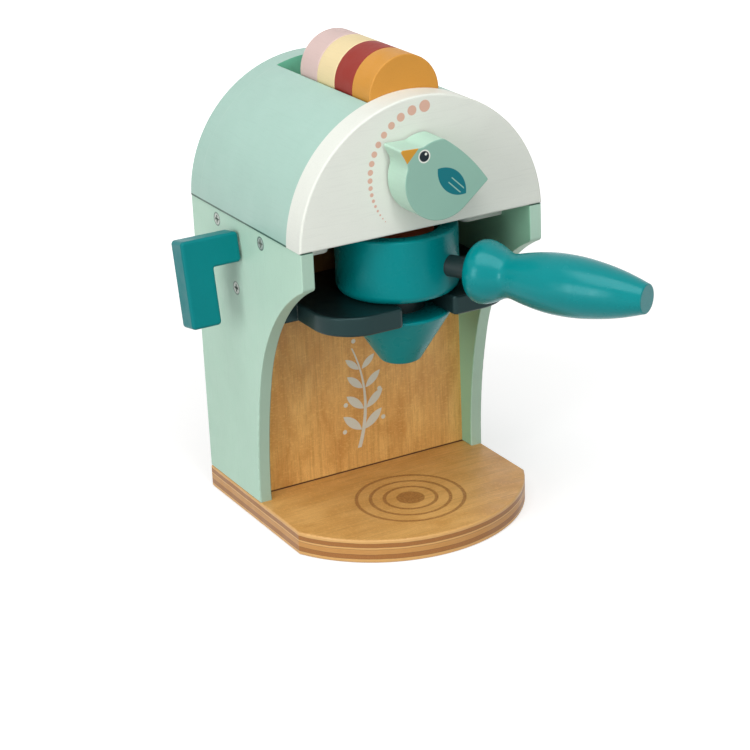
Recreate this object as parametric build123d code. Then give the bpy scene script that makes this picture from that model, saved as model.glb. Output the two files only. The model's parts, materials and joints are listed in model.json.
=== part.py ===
"""Wooden toy coffee maker: a pod hopper on two side panels, with a portafilter in a forked holder.

Millimetres. +Z is up and the front of the machine faces -Y. The origin is on the table,
under the middle of the side panels.
"""
from build123d import *
from math import acos, atan2, cos, degrees, hypot, radians, sin
import os

# ---------------------------------------------------------------- driving dimensions
# Carcass
machine_width = 161.2          # over the outer faces of the side panels
machine_depth = 144.5          # front face of the hopper to its rear face
panel_top_z = 197.0            # top edge of the side panels, where the hopper sits
side_thickness = 8.1
base_thickness = 15.0
base_front_y = -98.0           # foremost point of the rounded base
base_front_radius = 90.0
foot_front_y = 2.0             # front edge of a side panel where it meets the base
sweep_radius = 330.0           # lower part of that edge, a shallow arc
sweep_turn = 14.5              # degrees that the arc turns before the tighter one under the brow
brow_drop = 22.6               # a side panel's upper front edge, below its top
brow_round = 3.0
side_round = 0.7               # outlines of a side panel's two broad faces
back_front_y = 13.0            # front face of the panel behind the cup bay
back_thickness = 6.0
edge_round = 1.2               # sanded arris on boards
deck_thickness = 14.0
deck_front_y = -41.0
deck_cutout_radius = 45.4
deck_lip_round = 5.0

# Forked holder under the deck
holder_drop = 44.8             # its top face below the side panels' top edge
holder_thickness = 12.0
holder_front_y = -75.0
holder_bar_front_y = -29.0     # front face of the full-width rear bar
holder_arm_half_width = 63.0   # outer sides of the two arms
holder_corner_radius = 26.0
holder_slot_half_width = 17.0
holder_round = 1.6
holder_mouth_round = 3.2

# Hopper
dome_drop = 2.4                # arc centre below the seat on the side panels
dome_overhang = 0.5            # of the dome over a side panel at that seat
front_plate_thickness = 17.0
rear_plate_thickness = 15.0
plate_round = 1.3              # outlines of the plates' free faces
shell_thickness = 8.0
slot_half_width = 23.5
pod_rest_rise = 53.0           # its top face above the side panels' top edge
pod_rest_thickness = 8.0
pod_rest_half_width = 20.0

# Coffee pods
pod_radius = 22.9
pod_thickness = 21.0
pod_round = 0.8
hopper_pods = ["pod_mustard", "pod_maroon", "pod_cream", "pod_pink"]   # front to rear

# Bird knob
knob_rise = 34.4               # its axis above the side panels' top edge
knob_body_radius = 23.7
knob_thickness = 20.0
tail_tip_reach = 31.4
tail_tip_angle = -10.0         # degrees from +X, seen from the front, as are the next angles
nape_angle = 84.0              # where the back leaves the round body
back_middle_reach = 20.4
back_middle_angle = 36.0
beak_tip_reach = 33.9
beak_tip_angle = 141.0
beak_brow_angle = 119.0        # the beak's upper and lower roots on the body
beak_throat_angle = 152.0
beak_root_round = 7.5          # hollows where the beak meets the body
tip_round = 1.1
nape_round = 7.0
knob_face_round = 0.6
knob_spindle_radius = 5.0
knob_spindle_engagement = 12.0
knob_spacer_radius = 11.0
knob_spacer_thickness = 1.6
knob_washer_radius = 8.0

# Steam lever on the left side
lever_y = 12.5
lever_pivot_drop = 16.7        # its pivot below the side panel's top edge
lever_reach = 37.2             # length of the bar that stands out from the side
lever_drop = 43.8              # lower end of the arm below the pivot
lever_bar_width = 18.4
lever_arm_width = 19.1
lever_board_thickness = 15.6
lever_tilt = 10.0              # degrees that the arm hangs forward of plumb
lever_round = 2.4              # outer corners of the lever's outline
lever_inner_round = 1.0        # corner between the bar and the arm
lever_face_round = 1.9         # outlines of its two broad faces
lever_spindle_radius = 4.0
lever_spindle_engagement = 14.0
lever_spacer_radius = 5.6
lever_spacer_thickness = 1.1
lever_washer_radius = 5.8
lever_recess_depth = 3.4

# Portafilter
cup_y = -38.5
cup_radius = 37.0
cup_height = 39.0
cup_base_round = 5.0
cup_rim_round = 1.6
cup_recess_radius = 25.0
cup_recess_depth = 24.6
cup_mouth_round = 3.6
neck_radius = 15.5
funnel_top_radius = 33.2
funnel_bottom_radius = 12.0
funnel_height = 33.6
funnel_round = 3.4
core_dowel_radius = 5.0
core_dowel_engagement = 11.0   # into the cup's floor, and into the funnel
handle_angle = 27.4            # degrees from straight ahead towards +X
handle_rise = 18.2             # its axis above the cup's underside
handle_start = 51.9            # collar face, from the cup's axis
handle_profile = [             # distance from the collar face, and the grip's radius there
    (0.0, 9.0), (1.0, 13.0), (2.4, 15.4), (4.4, 17.4), (7.9, 18.8), (15.4, 17.6), (20.4, 15.3),
    (25.9, 13.2), (33.4, 14.3), (38.4, 15.4), (45.4, 16.7), (63.4, 17.9), (73.4, 17.4),
    (82.4, 16.3), (92.4, 14.5), (101.4, 12.3), (106.4, 10.8), (113.2, 8.6)]
handle_end_round = 0.8
handle_dowel_radius = 6.5
handle_dowel_engagement = 22.0
handle_dowel_cup_end = 27.5    # inner end of the dowel, from the cup's axis

# Fasteners
screw_head_radius = 3.9
base_screw_head_radius = 3.2
screw_head_height = 2.4
screw_shank_radius = 1.7
screw_recess_width = 1.2
screw_recess_depth = 1.3
screw_recess_share = 1.2       # length of the cross recess, as a share of the head's radius
side_screw_length = 30.0
base_screw_length = 38.0
holder_screw_length = 28.0
hopper_screw_length = 26.0
pan_head_radius = 3.2
pan_head_height = 2.1
pan_head_round = 0.9
pan_screw_length = 12.0
pan_shank_radius = 1.5
washer_thickness = 0.9
hopper_dowel_radius = 2.0
hopper_dowel_length = 20.0
hopper_dowel_inset = 3.5       # axis of a dowel from a side panel's outer face
rest_dowel_radius = 3.0
rest_dowel_length = 16.0
deck_screw_spacing = 58.0      # between the two side screws into the deck's end
deck_screw_setback = 20.0      # first of them behind the deck's front edge
back_screw_drop = 45.0         # screw into the back panel's edge, below the side panels' top edge
base_screw_inset = 16.0        # from the ends of a side panel's foot
base_screw_edge = 4.5          # from the base's side edge
base_back_screw_x = 40.0
holder_screw_x = 45.0
hopper_screw_x = 35.0

# Clearances
pick = 0.01                    # tolerance when a vertex or an edge is picked by its place
seat_gap = 0.2                 # a loose piece above the face that it rests on
pod_gap = 0.2
running_gap = 0.06             # radial, spindle in its hole
recess_gap = 0.6
funnel_gap = 0.5

# ---------------------------------------------------------------- derived places
half_width = machine_width / 2
half_depth = machine_depth / 2
inner_half_width = half_width - side_thickness
deck_bottom_z = panel_top_z - deck_thickness
brow_z = panel_top_z - brow_drop
holder_top_z = panel_top_z - holder_drop
holder_bottom_z = holder_top_z - holder_thickness
holder_mid_z = holder_top_z - holder_thickness / 2
dome_centre_z = panel_top_z - dome_drop
dome_radius = hypot(half_width + dome_overhang, dome_drop)
front_plate_rear_y = -half_depth + front_plate_thickness
rear_plate_front_y = half_depth - rear_plate_thickness
back_rear_y = back_front_y + back_thickness
pod_rest_top_z = panel_top_z + pod_rest_rise
pod_centre_z = pod_rest_top_z + seat_gap + pod_radius
knob_z = panel_top_z + knob_rise
knob_rear_y = -half_depth - knob_spacer_thickness
lever_z = panel_top_z - lever_pivot_drop
lever_inner_x = -half_width - lever_spacer_thickness
lever_outer_x = lever_inner_x - lever_reach
lever_recess_x = -inner_half_width - lever_recess_depth
cup_bottom_z = holder_top_z + seat_gap
cup_rim_z = cup_bottom_z + cup_height
cup_floor_z = cup_rim_z - cup_recess_depth
funnel_top_z = holder_bottom_z - funnel_gap
handle_z = cup_bottom_z + handle_rise
handle_direction = Vector(sin(radians(handle_angle)), -cos(radians(handle_angle)), 0)


# ---------------------------------------------------------------- helpers
def upright(y):
    """A vertical plane across the machine at depth y, with X across and Z up."""
    return Plane(origin=(0, y, 0), x_dir=(1, 0, 0), z_dir=(0, -1, 0))


def between(sketch, front_y, rear_y):
    """Extrude an XZ sketch from one depth to another."""
    return extrude(upright(rear_y) * sketch, rear_y - front_y)


def slab(sketch, bottom_z, top_z):
    """Extrude a plan sketch from one height to another."""
    return extrude(Plane.XY.offset(bottom_z) * sketch, top_z - bottom_z)


def block(x_range, y_range, z_range):
    """A rectangular block between three pairs of limits."""
    size = [limits[1] - limits[0] for limits in (x_range, y_range, z_range)]
    centre = [sum(limits) / 2 for limits in (x_range, y_range, z_range)]
    return Pos(*centre) * Box(*size)


def rod(start, direction, length, radius):
    """A round bar from a point, along a direction."""
    return Plane(origin=start, z_dir=direction) * extruded_circle(radius, length)


def extruded_circle(radius, height):
    """A cylinder that stands on its own origin."""
    return Cylinder(radius, height, align=(Align.CENTER, Align.CENTER, Align.MIN))


def round_faces(solid, axis, radius):
    """Round the outlines of a board's two broad faces."""
    faces = solid.faces().sort_by(axis)
    return fillet(faces[0].edges() + faces[-1].edges(), radius)


def on_axis(tool, place, outward):
    """Set a tool made along -Z under its own origin at a place, looking outward."""
    return Plane(origin=place, z_dir=outward) * tool


# ---------------------------------------------------------------- fasteners
def screw_envelope(length, head_radius=screw_head_radius):
    """Countersunk screw without its recess, head flush with its own origin."""
    head = Pos(0, 0, -screw_head_height) * Cone(
        screw_shank_radius, head_radius, screw_head_height,
        align=(Align.CENTER, Align.CENTER, Align.MIN))
    shank = Pos(0, 0, -length) * extruded_circle(screw_shank_radius, length)
    return head + shank


def recess_bar(head_radius, depth):
    """One arm of a cross recess, centred on its own origin."""
    return Box(head_radius * screw_recess_share, screw_recess_width, depth)


def countersunk_screw(length, head_radius=screw_head_radius):
    """Countersunk screw with a cross recess."""
    bar = Pos(0, 0, -screw_recess_depth / 2) * recess_bar(head_radius, screw_recess_depth)
    return screw_envelope(length, head_radius) - bar - Rot(0, 0, 90) * bar


def pan_screw():
    """Pan-head screw that holds a washer on the end of a spindle, head above its origin."""
    blank = extruded_circle(pan_head_radius, pan_head_height)
    head = fillet(blank.faces().sort_by(Axis.Z)[-1].edges(), pan_head_round)
    bar = Pos(0, 0, pan_head_height) * recess_bar(pan_head_radius, screw_recess_depth * 2)
    shank = Pos(0, 0, -pan_screw_length) * extruded_circle(pan_shank_radius, pan_screw_length)
    return head - bar - Rot(0, 0, 90) * bar + shank


def washer(radius):
    """Flat washer for a pan-head screw, standing on its own origin."""
    return extruded_circle(radius, washer_thickness) - extruded_circle(pan_shank_radius, washer_thickness)


def side_screw_places(side):
    """Two screws into the deck's end and one into the back panel's edge."""
    x = side * half_width
    deck_z = panel_top_z - deck_thickness / 2
    first_y = deck_front_y + deck_screw_setback
    back_y = back_front_y + back_thickness / 2
    back_z = panel_top_z - back_screw_drop
    return [(x, first_y, deck_z), (x, first_y + deck_screw_spacing, deck_z), (x, back_y, back_z)]


def base_screw_places():
    """Screws up through the base, into the feet of the side panels and the back panel."""
    panel_x = half_width - base_screw_edge
    foot_ys = (foot_front_y + base_screw_inset, half_depth - base_screw_inset)
    places = [(side * panel_x, y, 0) for side in (-1, 1) for y in foot_ys]
    back_y = back_front_y + back_thickness / 2
    return places + [(side * base_back_screw_x, back_y, 0) for side in (-1, 1)]


def holder_screw_places():
    """Screws from behind the back panel into the holder's rear bar."""
    return [(side * holder_screw_x, back_rear_y, holder_mid_z) for side in (-1, 1)]


def hopper_screw_places():
    """Screws up through the deck into the hopper's rear plate."""
    y = half_depth - rear_plate_thickness / 2
    return [(side * hopper_screw_x, y, deck_bottom_z) for side in (-1, 1)]


def hopper_dowels():
    """Blind dowels that locate the plates and the shells on the side panels."""
    x = half_width - hopper_dowel_inset
    span = rear_plate_front_y - front_plate_rear_y
    ys = [-half_depth + front_plate_thickness / 2, front_plate_rear_y + span / 4,
          rear_plate_front_y - span / 4, half_depth - rear_plate_thickness / 2]
    bottom = panel_top_z - hopper_dowel_length / 2
    return [Pos(side * x, y, bottom) * extruded_circle(hopper_dowel_radius, hopper_dowel_length)
            for side in (-1, 1) for y in ys]


def rest_dowels():
    """Dowels between the pod rest and the hopper's two plates."""
    z = pod_rest_top_z - pod_rest_thickness / 2
    half = rest_dowel_length / 2
    starts = [(side * pod_rest_half_width / 2, y - half, z)
              for side in (-1, 1) for y in (front_plate_rear_y, rear_plate_front_y)]
    return [rod(start, (0, 1, 0), rest_dowel_length, rest_dowel_radius) for start in starts]


def screws_at(places, outward, tool):
    """The same tool at each place."""
    return [on_axis(tool, place, outward) for place in places]


def base_screw_holes():
    """What the screws up through the base take out of the boards."""
    tool = screw_envelope(base_screw_length, base_screw_head_radius)
    return screws_at(base_screw_places(), (0, 0, -1), tool)


def side_screw_holes(side):
    """What the screws in from one side take out of the boards."""
    return screws_at(side_screw_places(side), (side, 0, 0), screw_envelope(side_screw_length))


def holder_screw_holes():
    """What the screws from behind the back panel take out of the boards."""
    return screws_at(holder_screw_places(), (0, 1, 0), screw_envelope(holder_screw_length))


def hopper_screw_holes():
    """What the screws up through the deck take out of the boards."""
    return screws_at(hopper_screw_places(), (0, 0, -1), screw_envelope(hopper_screw_length))


def drilled(board, tools):
    """A board with every tool's envelope taken out of it."""
    for tool in tools:
        board -= tool
    return board


# ---------------------------------------------------------------- carcass
def base_outline():
    """Plan of the base: square at the rear, with an arc for its front edge."""
    arc_centre_y = base_front_y + base_front_radius
    disc = Pos(0, arc_centre_y) * Circle(base_front_radius)
    strip = Pos(0, base_front_y + (half_depth - base_front_y) / 2) * Rectangle(
        machine_width, half_depth - base_front_y)
    tail = Pos(0, (half_depth + arc_centre_y) / 2) * Rectangle(machine_width, half_depth - arc_centre_y)
    return (disc & strip) + tail


def base_plate():
    """Plywood base with countersunk holes in its underside."""
    board = slab(base_outline(), 0, base_thickness)
    return drilled(round_faces(board, Axis.Z, edge_round), base_screw_holes())


def side_outline():
    """Side panel: upright rear edge and a front edge that sweeps back under a brow."""
    foot = (foot_front_y, base_thickness)
    brow = (-half_depth, brow_z)
    lower = JernArc(foot, (0, 1), sweep_radius, sweep_turn)
    upper = TangentArc(lower @ 1, brow, tangent=lower % 1)
    frame = Polyline(brow, (-half_depth, panel_top_z), (half_depth, panel_top_z),
                     (half_depth, base_thickness), foot)
    outline = make_face(lower + upper + frame)
    return fillet(outline.vertices().sort_by_distance((*brow, 0))[0], brow_round)


def side_panel(side):
    """One side panel, standing on the base, with its screw and dowel holes."""
    x = -half_width if side < 0 else inner_half_width
    board = Pos(x, 0, 0) * extrude(Plane.YZ * side_outline(), side_thickness)
    board = round_faces(board, Axis.X, side_round)
    return drilled(board, side_screw_holes(side) + base_screw_holes() + hopper_dowels())


def left_side_panel():
    """Left panel with the lever's bearing hole and the recess for its washer."""
    start = (-half_width, lever_y, lever_z)
    hole = rod(start, (1, 0, 0), side_thickness, lever_spindle_radius + running_gap)
    recess = rod((lever_recess_x, lever_y, lever_z), (1, 0, 0), lever_recess_depth,
                 lever_washer_radius + recess_gap)
    return side_panel(-1) - hole - recess


def back_panel():
    """Plywood panel behind the cup bay, from the base up to the deck."""
    board = block((-inner_half_width, inner_half_width), (back_front_y, back_rear_y),
                  (base_thickness, deck_bottom_z))
    side_holes = side_screw_holes(-1) + side_screw_holes(1)
    return drilled(board, side_holes + base_screw_holes() + holder_screw_holes())


def deck_board():
    """White board under the hopper, cut out at the front around the cup."""
    plan = Pos(0, (deck_front_y + half_depth) / 2) * Rectangle(
        inner_half_width * 2, half_depth - deck_front_y)
    plan -= Pos(0, cup_y) * Circle(deck_cutout_radius)
    front = plan.vertices().filter_by(lambda v: abs(v.Y - deck_front_y) < pick)
    plan = fillet(front.filter_by(lambda v: abs(v.X) < inner_half_width - pick), deck_lip_round)
    board = round_faces(slab(plan, deck_bottom_z, panel_top_z), Axis.Z, edge_round)
    return drilled(board, side_screw_holes(-1) + side_screw_holes(1) + hopper_screw_holes())


def holder_plate():
    """Forked plate: a full-width rear bar with two arms around an open slot."""
    bar = Pos(0, (holder_bar_front_y + back_front_y) / 2) * Rectangle(
        inner_half_width * 2, back_front_y - holder_bar_front_y)
    arm_depth = holder_bar_front_y - holder_front_y
    arms = Pos(0, holder_front_y + arm_depth / 2) * Rectangle(holder_arm_half_width * 2, arm_depth)
    arms = fillet(arms.vertices().group_by(Axis.Y)[0], holder_corner_radius)
    slot_length = cup_y - holder_front_y
    slot = Pos(0, holder_front_y + slot_length / 2) * Rectangle(holder_slot_half_width * 2, slot_length)
    slot += Pos(0, cup_y) * Circle(holder_slot_half_width)
    plan = bar + arms - slot
    front = plan.vertices().group_by(Axis.Y)[0]
    mouth = front.filter_by(lambda v: abs(v.X) < holder_slot_half_width + pick)
    plan = fillet(mouth, holder_mouth_round)
    board = round_faces(slab(plan, holder_bottom_z, holder_top_z), Axis.Z, holder_round)
    return drilled(board, holder_screw_holes())


# ---------------------------------------------------------------- hopper
def dome_outline(radius):
    """Part of a disc that stands on the side panels' top edges."""
    disc = Pos(0, dome_centre_z) * Circle(radius)
    above = Pos(0, panel_top_z + radius) * Rectangle(radius * 4, radius * 2)
    return disc & above


def hopper_plate(front_y, rear_y, rounded_axis_end):
    """A domed end plate; its free face has a rounded outline."""
    plate = between(dome_outline(dome_radius), front_y, rear_y)
    face = plate.faces().sort_by(Axis.Y)[rounded_axis_end]
    return drilled(fillet(face.edges(), plate_round), hopper_dowels() + rest_dowels())


def hopper_front_plate():
    """White front plate with the knob's bearing hole."""
    plate = hopper_plate(-half_depth, front_plate_rear_y, 0)
    start = (0, -half_depth, knob_z)
    return plate - rod(start, (0, 1, 0), front_plate_thickness, knob_spindle_radius + running_gap)


def hopper_rear_plate():
    """Rear plate, screwed to the deck from beneath."""
    return drilled(hopper_plate(rear_plate_front_y, half_depth, -1), hopper_screw_holes())


def hopper_shell(side):
    """Bent plywood skin between the two plates, from a side panel up to the pod slot."""
    ring = dome_outline(dome_radius) - Pos(0, dome_centre_z) * Circle(dome_radius - shell_thickness)
    outside = Pos(side * (slot_half_width + dome_radius), dome_centre_z) * Rectangle(
        dome_radius * 2, dome_radius * 4)
    shell = between(ring & outside, front_plate_rear_y, rear_plate_front_y)
    slot_edges = shell.edges().filter_by(Axis.Y).sort_by(Axis.Z)[-1:]
    return drilled(fillet(slot_edges, edge_round), hopper_dowels())


def pod_rest():
    """Narrow board under the pods, dowelled between the two plates."""
    board = block((-pod_rest_half_width, pod_rest_half_width), (front_plate_rear_y, rear_plate_front_y),
                  (pod_rest_top_z - pod_rest_thickness, pod_rest_top_z))
    return drilled(board, rest_dowels())


# ---------------------------------------------------------------- pods
def pod_disc():
    """A coffee pod lying on its own origin."""
    disc = extruded_circle(pod_radius, pod_thickness)
    return fillet(disc.edges().filter_by(GeomType.CIRCLE), pod_round)


def hopper_pod(index):
    """A pod on edge in the hopper, counted from the front plate."""
    front_y = front_plate_rear_y + pod_gap + index * (pod_thickness + pod_gap)
    return Plane(origin=(0, front_y, pod_centre_z), z_dir=(0, 1, 0)) * pod_disc()


def cup_pod():
    """The pod that lies in the portafilter's cup."""
    return Pos(0, cup_y, cup_floor_z + seat_gap) * pod_disc()


# ---------------------------------------------------------------- bird knob
def point_on_knob(angle, reach):
    """A point of the knob's outline, seen from the front."""
    return (reach * cos(radians(angle)), reach * sin(radians(angle)))


def knob_outline():
    """Round bird: a disc with a back that runs straight down to the tail, and a short beak."""
    nape = point_on_knob(nape_angle, knob_body_radius)
    tail_tip = point_on_knob(tail_tip_angle, tail_tip_reach)
    rump_angle = tail_tip_angle - degrees(acos(knob_body_radius / tail_tip_reach))
    rump = point_on_knob(rump_angle, knob_body_radius)
    throat = point_on_knob(beak_throat_angle, knob_body_radius)
    beak_tip = point_on_knob(beak_tip_angle, beak_tip_reach)
    brow = point_on_knob(beak_brow_angle, knob_body_radius)
    belly = point_on_knob((rump_angle + beak_throat_angle - 360) / 2, knob_body_radius)
    crown = point_on_knob((beak_brow_angle + nape_angle) / 2, knob_body_radius)
    back = ThreePointArc(nape, point_on_knob(back_middle_angle, back_middle_reach), tail_tip)
    edge = back + Line(tail_tip, rump) + ThreePointArc(rump, belly, throat)
    edge += Polyline(throat, beak_tip, brow) + ThreePointArc(brow, crown, nape)
    outline = make_face(edge)
    roots = [outline.vertices().sort_by_distance((*root, 0))[0] for root in (brow, throat)]
    outline = fillet(roots, beak_root_round)
    outline = fillet(outline.vertices().sort_by_distance((*nape, 0))[0], nape_round)
    tips = [outline.vertices().sort_by_distance((*tip, 0))[0] for tip in (tail_tip, beak_tip)]
    return fillet(tips, tip_round)


def bird_knob():
    """Bird-shaped turning knob with a blind hole for its spindle."""
    front_y = knob_rear_y - knob_thickness
    knob = between(Pos(0, knob_z) * knob_outline(), front_y, knob_rear_y)
    knob = fillet(knob.faces().sort_by(Axis.Y)[0].edges(), knob_face_round)
    hole = rod((0, knob_rear_y, knob_z), (0, -1, 0), knob_spindle_engagement, knob_spindle_radius)
    return knob - hole


def knob_spindle():
    """Dowel glued into the knob, turning in the front plate."""
    start = (0, knob_rear_y - knob_spindle_engagement, knob_z)
    length = knob_spindle_engagement + knob_spacer_thickness + front_plate_thickness + seat_gap
    spindle = rod(start, (0, 1, 0), length, knob_spindle_radius)
    return spindle - on_axis(pan_screw(), (0, start[1] + length + washer_thickness, knob_z), (0, 1, 0))


def knob_spacer():
    """Felt washer between the knob and the front plate."""
    ring = extruded_circle(knob_spacer_radius, knob_spacer_thickness)
    ring -= extruded_circle(knob_spindle_radius, knob_spacer_thickness)
    return Plane(origin=(0, -half_depth, knob_z), z_dir=(0, -1, 0)) * ring


def knob_washer():
    """Washer on the inner end of the knob's spindle."""
    return on_axis(washer(knob_washer_radius), (0, front_plate_rear_y + seat_gap, knob_z), (0, 1, 0))


def knob_screw():
    """Screw that keeps the knob's washer."""
    y = front_plate_rear_y + seat_gap + washer_thickness
    return on_axis(pan_screw(), (0, y, knob_z), (0, 1, 0))


# ---------------------------------------------------------------- steam lever
def tilted(solid):
    """Swing a solid made plumb about the lever's pivot to the lever's resting tilt."""
    pivot = Pos(0, lever_y, lever_z)
    return pivot * Rot(-lever_tilt, 0, 0) * pivot.inverse() * solid


def steam_lever():
    """L-shaped lever cut from board, with a blind hole for its spindle."""
    half_bar = lever_bar_width / 2
    bar = Pos((lever_inner_x + lever_outer_x) / 2, lever_z) * Rectangle(lever_reach, lever_bar_width)
    arm_height = lever_drop + half_bar
    arm = Pos(lever_outer_x + lever_arm_width / 2, lever_z - lever_drop + arm_height / 2) * Rectangle(
        lever_arm_width, arm_height)
    profile = bar + arm
    inner_corner = (lever_outer_x + lever_arm_width, lever_z - half_bar, 0)
    profile = fillet(profile.vertices().sort_by_distance(inner_corner)[1:], lever_round)
    profile = fillet(profile.vertices().sort_by_distance(inner_corner)[0], lever_inner_round)
    half_board = lever_board_thickness / 2
    lever = between(profile, lever_y - half_board, lever_y + half_board)
    lever = round_faces(lever, Axis.Y, lever_face_round)
    hole = rod((lever_inner_x, lever_y, lever_z), (-1, 0, 0), lever_spindle_engagement, lever_spindle_radius)
    return tilted(lever - hole)


def lever_spindle():
    """Dowel glued into the lever, turning in the left side panel."""
    start_x = lever_inner_x - lever_spindle_engagement
    spindle = rod((start_x, lever_y, lever_z), (1, 0, 0), lever_recess_x + seat_gap - start_x,
                  lever_spindle_radius)
    return spindle - lever_screw()


def lever_spacer():
    """Felt washer between the lever and the side panel."""
    ring = extruded_circle(lever_spacer_radius, lever_spacer_thickness)
    ring -= extruded_circle(lever_spindle_radius, lever_spacer_thickness)
    return Plane(origin=(-half_width, lever_y, lever_z), z_dir=(-1, 0, 0)) * ring


def lever_washer():
    """Washer in the recess on the inner face of the left panel."""
    return on_axis(washer(lever_washer_radius), (lever_recess_x + seat_gap, lever_y, lever_z), (1, 0, 0))


def lever_screw():
    """Screw that keeps the lever's washer."""
    x = lever_recess_x + seat_gap + washer_thickness
    return on_axis(pan_screw(), (x, lever_y, lever_z), (1, 0, 0))


# ---------------------------------------------------------------- portafilter
def handle_dowel():
    """Dark dowel that joins the cup and the handle."""
    start = Vector(0, cup_y, handle_z) + handle_direction * handle_dowel_cup_end
    length = handle_start + handle_dowel_engagement - handle_dowel_cup_end
    return rod(start, handle_direction, length, handle_dowel_radius)


def core_dowel():
    """Hidden dowel through the neck, into the cup's floor and the funnel."""
    bottom = funnel_top_z - core_dowel_engagement
    length = cup_bottom_z + core_dowel_engagement - bottom
    return Pos(0, cup_y, bottom) * extruded_circle(core_dowel_radius, length)


def portafilter_cup():
    """Turned cup with a recess for one pod."""
    cup = extruded_circle(cup_radius, cup_height)
    cup = fillet(cup.edges().group_by(Axis.Z)[0], cup_base_round)
    cup = fillet(cup.edges().group_by(Axis.Z)[-1], cup_rim_round)
    recess = Pos(0, 0, cup_height - cup_recess_depth) * extruded_circle(cup_recess_radius, cup_recess_depth)
    cup -= recess
    mouth = cup.edges().filter_by(GeomType.CIRCLE).filter_by(
        lambda e: abs(e.radius - cup_recess_radius) < pick).sort_by(Axis.Z)[-1]
    cup = Pos(0, cup_y, cup_bottom_z) * fillet(mouth, cup_mouth_round)
    return cup - handle_dowel() - core_dowel()


def portafilter_neck():
    """Round neck that slides between the holder's arms."""
    neck = Pos(0, cup_y, funnel_top_z) * extruded_circle(neck_radius, cup_bottom_z - funnel_top_z)
    return neck - core_dowel()


def portafilter_funnel():
    """Turned spout cone under the holder."""
    cone = Cone(funnel_bottom_radius, funnel_top_radius, funnel_height,
                align=(Align.CENTER, Align.CENTER, Align.MAX))
    cone = fillet(cone.edges().group_by(Axis.Z)[0], funnel_round)
    cone = fillet(cone.edges().group_by(Axis.Z)[-1], edge_round)
    return Pos(0, cup_y, funnel_top_z) * cone - core_dowel()


def portafilter_handle():
    """Turned grip: collar, waist and belly, tapering to a small flat end."""
    outline = Spline(*handle_profile)
    face, end = handle_profile[0], handle_profile[-1]
    closing = Polyline(end, (end[0], 0), (0, 0), face)
    grip = revolve(make_face(outline + closing), Axis.X)
    end_edge = grip.edges().filter_by(GeomType.CIRCLE).sort_by(Axis.X)[-1]
    grip = fillet(end_edge, handle_end_round)
    bearing = degrees(atan2(handle_direction.Y, handle_direction.X))
    start = Vector(0, cup_y, handle_z) + handle_direction * handle_start
    return Pos(start) * Rot(0, 0, bearing) * grip - handle_dowel()


# ---------------------------------------------------------------- files
def save(name, *solids):
    """Write one node; several solids make one group."""
    shape = solids[0] if len(solids) == 1 else Compound(children=list(solids))
    export_step(shape, f"parts/{name}.step")


def main():
    """Write every node of the machine."""
    os.makedirs("parts", exist_ok=True)
    save("base_plate", base_plate())
    save("left_side_panel", left_side_panel())
    save("right_side_panel", side_panel(1))
    save("back_panel", back_panel())
    save("deck_board", deck_board())
    save("holder_plate", holder_plate())
    save("hopper_front_plate", hopper_front_plate())
    save("hopper_rear_plate", hopper_rear_plate())
    save("hopper_left_shell", hopper_shell(-1))
    save("hopper_right_shell", hopper_shell(1))
    save("pod_rest", pod_rest())
    side_screw = countersunk_screw(side_screw_length)
    save("left_side_screws", *screws_at(side_screw_places(-1), (-1, 0, 0), side_screw))
    save("right_side_screws", *screws_at(side_screw_places(1), (1, 0, 0), side_screw))
    base_screw = countersunk_screw(base_screw_length, base_screw_head_radius)
    save("base_screws", *screws_at(base_screw_places(), (0, 0, -1), base_screw))
    holder_screw = countersunk_screw(holder_screw_length)
    save("holder_screws", *screws_at(holder_screw_places(), (0, 1, 0), holder_screw))
    hopper_screw = countersunk_screw(hopper_screw_length)
    save("hopper_screws", *screws_at(hopper_screw_places(), (0, 0, -1), hopper_screw))
    save("hopper_dowels", *hopper_dowels())
    save("pod_rest_dowels", *rest_dowels())
    for index, name in enumerate(hopper_pods):
        save(name, hopper_pod(index))
    save("pod_terracotta", cup_pod())
    save("bird_knob", bird_knob())
    save("knob_spindle", knob_spindle())
    save("knob_spacer", knob_spacer())
    save("knob_washer", knob_washer())
    save("knob_screw", knob_screw())
    save("steam_lever", steam_lever())
    save("lever_spindle", lever_spindle())
    save("lever_spacer", lever_spacer())
    save("lever_washer", lever_washer())
    save("lever_screw", lever_screw())
    save("portafilter_cup", portafilter_cup())
    save("portafilter_neck", portafilter_neck())
    save("portafilter_funnel", portafilter_funnel())
    save("portafilter_core_dowel", core_dowel())
    save("portafilter_handle_dowel", handle_dowel())
    save("portafilter_handle", portafilter_handle())


main()
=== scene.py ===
"""Looks of the wooden toy coffee maker: paint, plywood, prints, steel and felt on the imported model.

Every length in a material is in millimetres of the row frame, which the object coordinates give
after scaling. +Z is up and the front of the machine faces -Y. Stage, lamps and camera are in metres.
"""

import json
import math

import bpy
from mathutils import Matrix, Vector

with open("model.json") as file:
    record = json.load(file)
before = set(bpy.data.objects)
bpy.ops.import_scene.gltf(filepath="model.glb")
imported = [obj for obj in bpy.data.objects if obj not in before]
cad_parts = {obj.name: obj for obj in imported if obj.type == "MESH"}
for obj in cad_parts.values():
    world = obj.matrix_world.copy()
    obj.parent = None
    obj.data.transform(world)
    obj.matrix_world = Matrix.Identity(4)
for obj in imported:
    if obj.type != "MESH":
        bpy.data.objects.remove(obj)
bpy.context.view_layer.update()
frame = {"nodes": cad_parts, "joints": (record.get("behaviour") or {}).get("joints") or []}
nodes = frame["nodes"]

MM = 0.001                     # metres in a millimetre


# ---------------------------------------------------------------- places on the model, in mm
def end_of(name, axis, pick):
    """Where a CAD node ends along X, Y or Z. pick is min or max."""
    return pick(corner["XYZ".index(axis)] for corner in nodes[name].bound_box) / MM


def joint_place(name):
    """Where a hinge's axis passes."""
    metres = next(joint["pos_m"] for joint in frame["joints"] if joint["name"] == name)
    return [value / MM for value in metres]


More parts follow.
